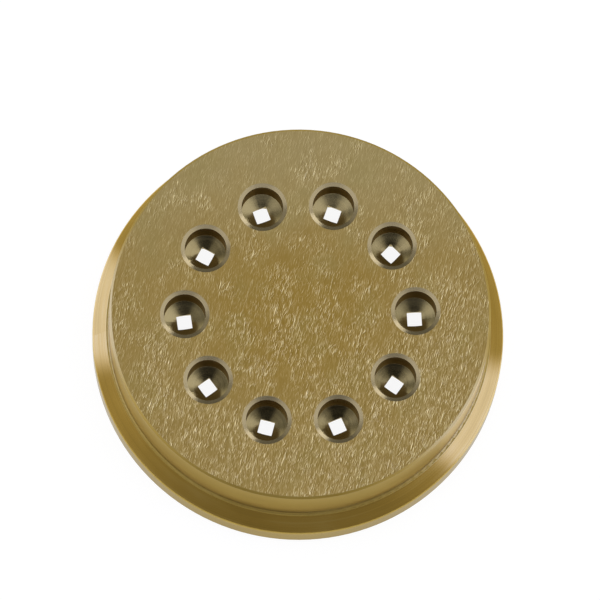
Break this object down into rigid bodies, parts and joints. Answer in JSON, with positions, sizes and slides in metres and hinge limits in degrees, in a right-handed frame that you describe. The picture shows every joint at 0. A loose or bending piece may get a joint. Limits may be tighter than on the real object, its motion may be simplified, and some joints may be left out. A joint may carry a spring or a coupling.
{
  "type": "pasta extrusion die",
  "caption": "Round turned brass die with a flanged, tapered base and a ring of square holes in drilled reliefs, which presses dough into square spaghetti.",
  "frame": {"origin": "centre of the inlet face, on the die's axis", "axes": "+Z along the die's axis from the inlet face to the outlet face, +X through the first outlet"},
  "size_m": [0.057, 0.057, 0.0155],
  "materials": {
    "brass": "rubbed satin face with fine short scratches, smooth turned side"
  },
  "bodies": {
    "root": {"die_body": "brass"}
  },
  "joints": []
}
